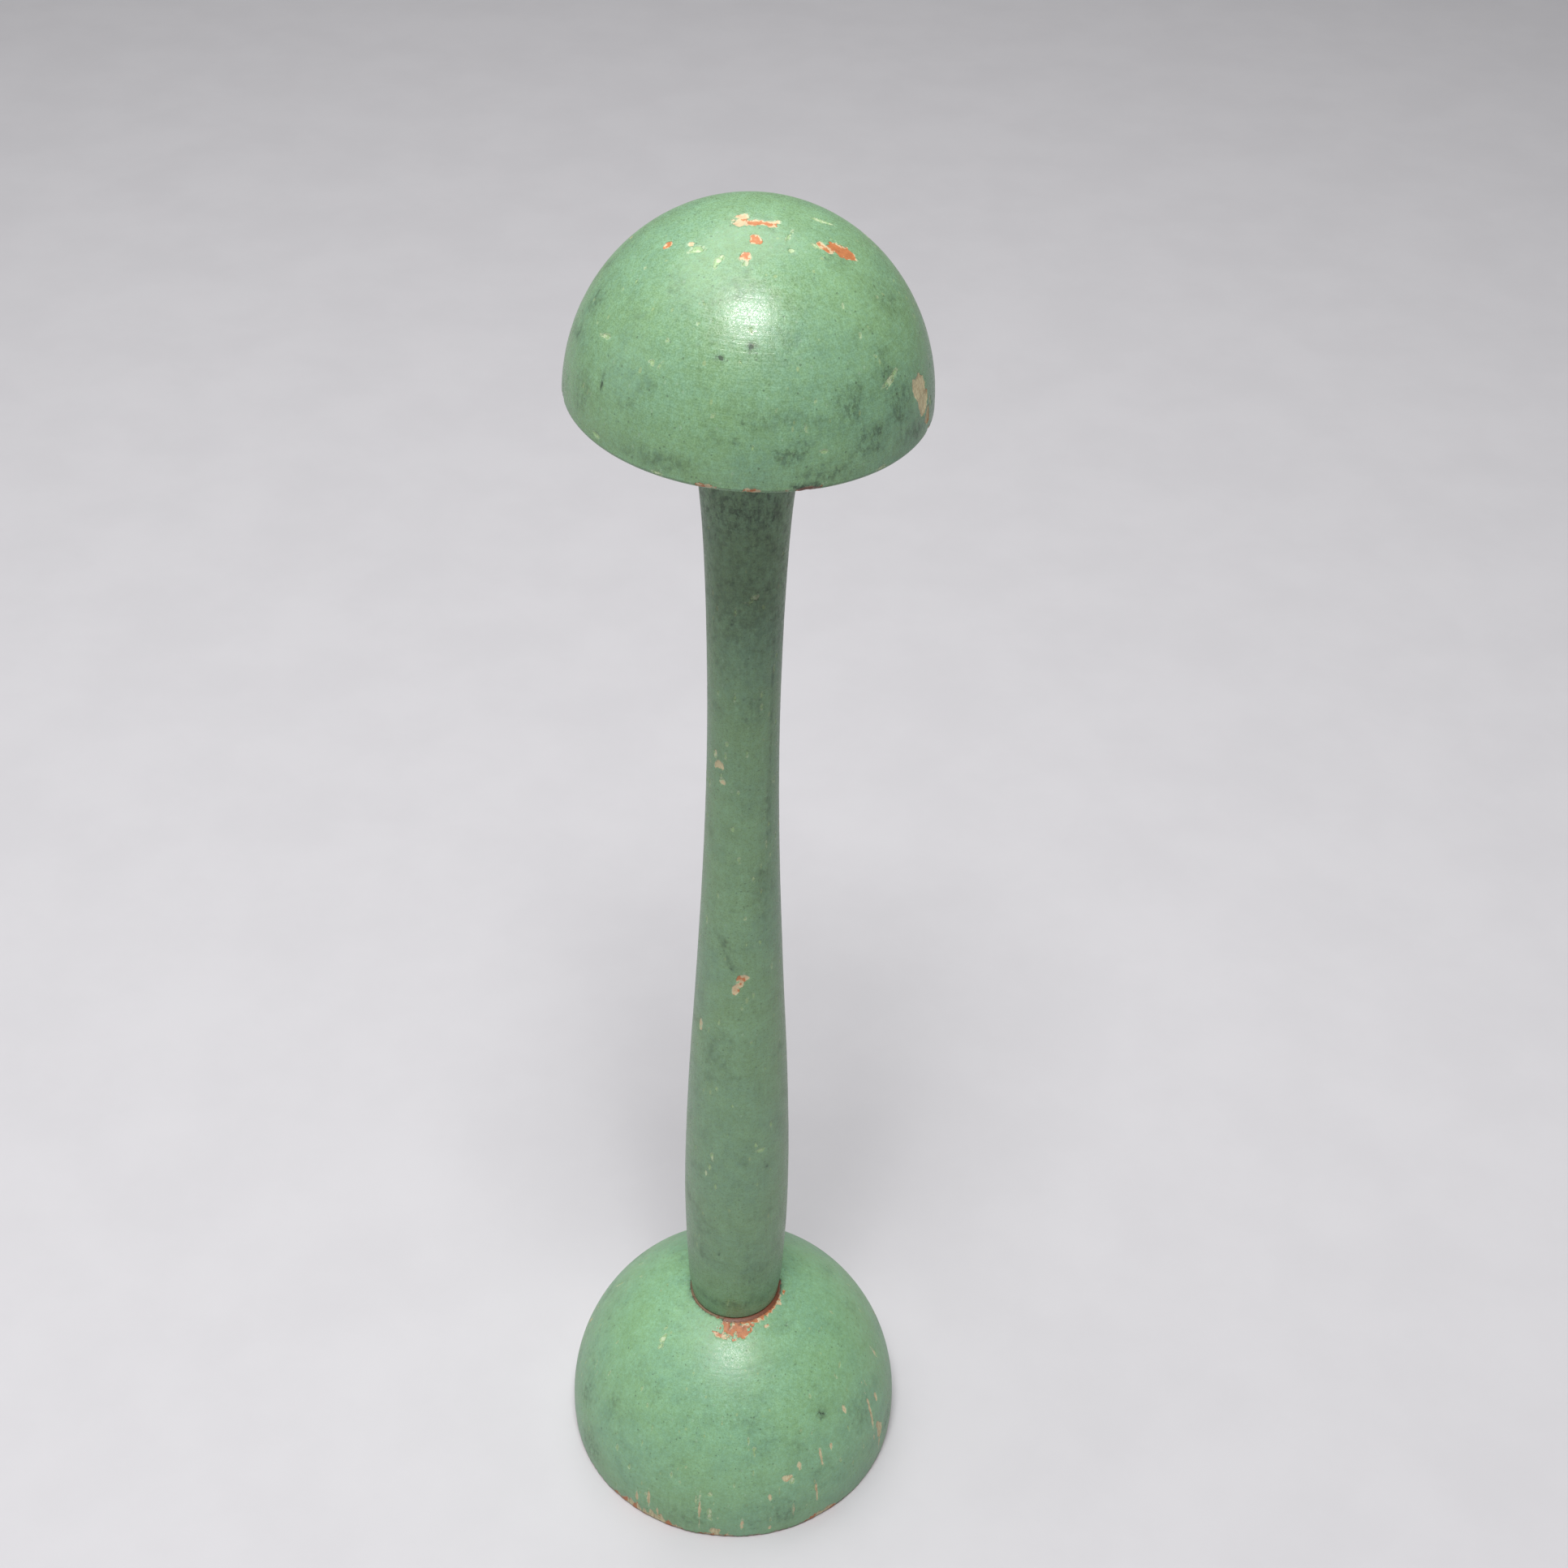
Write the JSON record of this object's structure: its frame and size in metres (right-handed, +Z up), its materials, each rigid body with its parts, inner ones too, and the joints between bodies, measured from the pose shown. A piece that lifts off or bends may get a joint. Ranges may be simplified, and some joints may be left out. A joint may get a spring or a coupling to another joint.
{
  "type": "hat stand",
  "caption": "Turned wooden hat or wig stand: a domed base, a slim waisted stem and a domed head, in worn green paint.",
  "frame": {"origin": "on the floor, in the middle of the underside of the base, under the turning axis of base and stem", "axes": "+Z up along the turning axis of base and stem; the head leans 2.4 degrees from it towards +X; -Y is the side with most of the chips"},
  "size_m": [0.122, 0.122, 0.4975],
  "materials": {
    "base_paint": "jade green oil paint over a red undercoat, semi-gloss, chipped and worn through to bare wood along the bottom edge",
    "stem_paint": "jade green oil paint over a red undercoat, semi-gloss, a few small chips",
    "head_paint": "jade green oil paint over a red undercoat, semi-gloss, chipped on the crown and along the rim",
    "screw_steel": "dull plain steel"
  },
  "bodies": {
    "root": {"base_dome": "base_paint", "stem": "stem_paint", "head_dome": "head_paint", "base_screw": "screw_steel"}
  },
  "joints": []
}
